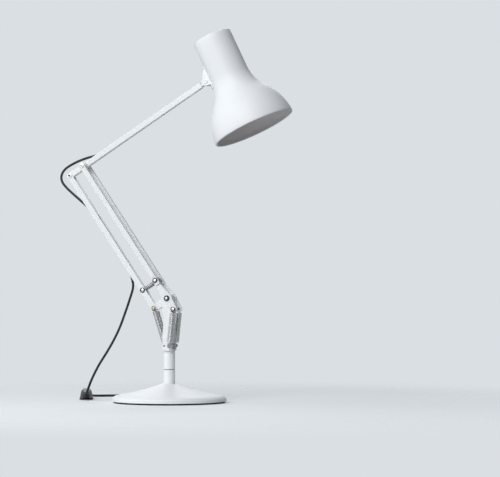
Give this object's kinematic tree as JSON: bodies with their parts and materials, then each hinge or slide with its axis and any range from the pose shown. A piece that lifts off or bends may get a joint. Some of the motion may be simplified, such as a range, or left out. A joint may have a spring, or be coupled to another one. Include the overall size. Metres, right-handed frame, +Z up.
{
  "type": "architect lamp",
  "caption": "Balanced-arm desk lamp: weighted round foot, turning post, sprung parallelogram arm and bell-shaped tilting shade, with its lead and plug.",
  "frame": {"origin": "centre of the flat underside of the foot", "axes": "+Z up along the post; +X in the arms' plane from the elbow toward the shade; +Y across the arms"},
  "size_m": [0.315, 0.299, 0.4886],
  "materials": {
    "foot_cover": "satin white paint",
    "foot_weight": "rough casting",
    "foot_pad": "matt black",
    "foot_stem": "satin white paint",
    "stem_nut": "zinc plated",
    "swivel_spigot": "turned",
    "swivel_washer": "black nylon",
    "post": "satin white paint",
    "fork": "satin white paint",
    "fork_bolt": "zinc plated",
    "anchor_pins": "plated",
    "shoulder_bolt": "nickel plated",
    "shoulder_nut": "nickel plated",
    "link_springs": "bright wire",
    "arm_springs": "bright wire",
    "cord_drop": "black flexible sheath",
    "switch_case_lower": "black",
    "switch_case_upper": "black",
    "cord_floor": "black flexible sheath",
    "cord_coil": "black flexible sheath",
    "cord_tail": "black flexible sheath",
    "plug_body": "black",
    "plug_prongs": "plain",
    "switch_rocker": "black",
    "lower_bar_far": "satin white paint",
    "lower_bar_near": "satin white paint",
    "tail_plate_far": "satin white paint",
    "tail_plate_near": "satin white paint",
    "shoulder_bushes": "white nylon",
    "spring_studs": "plated",
    "bar_rivets": "plated",
    "elbow_bolt": "nickel plated",
    "elbow_nut": "nickel plated",
    "spacer_bolt": "nickel plated",
    "spacer_sleeve": "white nylon",
    "spacer_nut": "nickel plated",
    "upper_tube": "satin white paint",
    "elbow_bushes": "white nylon",
    "arm_end_socket": "white nylon",
    "tail_pin": "nickel plated",
    "lead_upper": "black flexible sheath",
    "lead_elbow": "black flexible sheath",
    "rear_link": "satin white paint",
    "brake_pin": "nickel plated",
    "lead_link": "black flexible sheath",
    "crank": "satin white paint",
    "crank_pin": "turned",
    "brake_rod": "plated",
    "brake_spring": "bright wire",
    "knuckle": "nickel plated",
    "shade": "satin white paint",
    "shade_bracket": "satin white paint",
    "bracket_screws": "zinc plated",
    "tilt_bolt": "nickel plated",
    "tilt_knob": "white",
    "holder_carrier": "white",
    "lamp_holder": "white",
    "bulb_cap": "nickel plated",
    "bulb": "opal white"
  },
  "bodies": {
    "base": {"foot_cover": "foot_cover", "foot_weight": "foot_weight", "foot_pad": "foot_pad", "foot_stem": "foot_stem", "stem_nut": "stem_nut", "swivel_spigot": "swivel_spigot", "swivel_washer": "swivel_washer"},
    "head": {"post": "post", "fork": "fork", "fork_bolt": "fork_bolt", "anchor_pins": "anchor_pins", "shoulder_bolt": "shoulder_bolt", "shoulder_nut": "shoulder_nut", "link_springs": "link_springs", "arm_springs": "arm_springs", "cord_drop": "cord_drop", "switch_case_lower": "switch_case_lower", "switch_case_upper": "switch_case_upper", "cord_floor": "cord_floor", "cord_coil": "cord_coil", "cord_tail": "cord_tail", "plug_body": "plug_body", "plug_prongs": "plug_prongs"},
    "switch_key": {"switch_rocker": "switch_rocker"},
    "lower_arm": {"lower_bar_far": "lower_bar_far", "lower_bar_near": "lower_bar_near", "tail_plate_far": "tail_plate_far", "tail_plate_near": "tail_plate_near", "shoulder_bushes": "shoulder_bushes", "spring_studs": "spring_studs", "bar_rivets": "bar_rivets", "elbow_bolt": "elbow_bolt", "elbow_nut": "elbow_nut", "spacer_bolt": "spacer_bolt", "spacer_sleeve": "spacer_sleeve", "spacer_nut": "spacer_nut"},
    "upper_arm": {"upper_tube": "upper_tube", "elbow_bushes": "elbow_bushes", "arm_end_socket": "arm_end_socket", "tail_pin": "tail_pin", "lead_upper": "lead_upper", "lead_elbow": "lead_elbow"},
    "rear_link": {"rear_link": "rear_link", "brake_pin": "brake_pin", "lead_link": "lead_link"},
    "crank": {"crank": "crank", "crank_pin": "crank_pin"},
    "brake_link": {"brake_rod": "brake_rod", "brake_spring": "brake_spring"},
    "shade_knuckle": {"knuckle": "knuckle"},
    "shade": {"shade": "shade", "shade_bracket": "shade_bracket", "bracket_screws": "bracket_screws", "tilt_bolt": "tilt_bolt", "tilt_knob": "tilt_knob", "holder_carrier": "holder_carrier", "lamp_holder": "lamp_holder", "bulb_cap": "bulb_cap", "bulb": "bulb"}
  },
  "joints": [
    {"name": "swivel", "type": "hinge", "parent": "base", "child": "head", "pos_m": [0, 0, 0.0433], "axis": [0, 0, 1], "range_deg": [-170, 170]},
    {"name": "shoulder", "type": "hinge", "parent": "head", "child": "lower_arm", "pos_m": [0, 0, 0.1366], "axis": [0, 1, 0], "range_deg": [-20, 30], "deforming": ["arm_springs", "link_springs", "cord_drop"]},
    {"name": "elbow", "type": "hinge", "parent": "lower_arm", "child": "upper_arm", "pos_m": [-0.11652, 0, 0.31131], "axis": [0, 1, 0], "range_deg": [-45, 30]},
    {"name": "link_swing", "type": "hinge", "parent": "upper_arm", "child": "rear_link", "pos_m": [-0.13623, 0, 0.29851], "axis": [0, 1, 0], "range_deg": [-31, 46], "deforming": ["lead_elbow"]},
    {"name": "crank_turn", "type": "hinge", "parent": "lower_arm", "child": "crank", "pos_m": [0, 0, 0.1366], "axis": [0, 1, 0], "range_deg": [-46, 31]},
    {"name": "brake_link_turn", "type": "hinge", "parent": "lower_arm", "child": "brake_link", "pos_m": [-0.01554, 0, 0.1599], "axis": [0, 1, 0], "range_deg": [-46, 31]},
    {"name": "shade_turn", "type": "hinge", "parent": "upper_arm", "child": "shade_knuckle", "pos_m": [0.05038, 0, 0.41969], "axis": [0.8387, 0, 0.5446], "range_deg": [-90, 90]},
    {"name": "shade_tilt", "type": "hinge", "parent": "shade_knuckle", "child": "shade", "pos_m": [0.05038, 0, 0.41969], "axis": [0, 1, 0], "range_deg": [-45, 30]},
    {"name": "switch_rock", "type": "hinge", "parent": "head", "child": "switch_key", "pos_m": [-0.1329, 0.0579, 0.01165], "axis": [-0.9563, -0.2924, 0], "range_deg": [0, 12]}
  ],
  "couplings": [
    {"joint": "link_swing", "follows": "elbow", "ratio": -1},
    {"joint": "crank_turn", "follows": "elbow", "ratio": 1},
    {"joint": "brake_link_turn", "follows": "elbow", "ratio": 1}
  ]
}
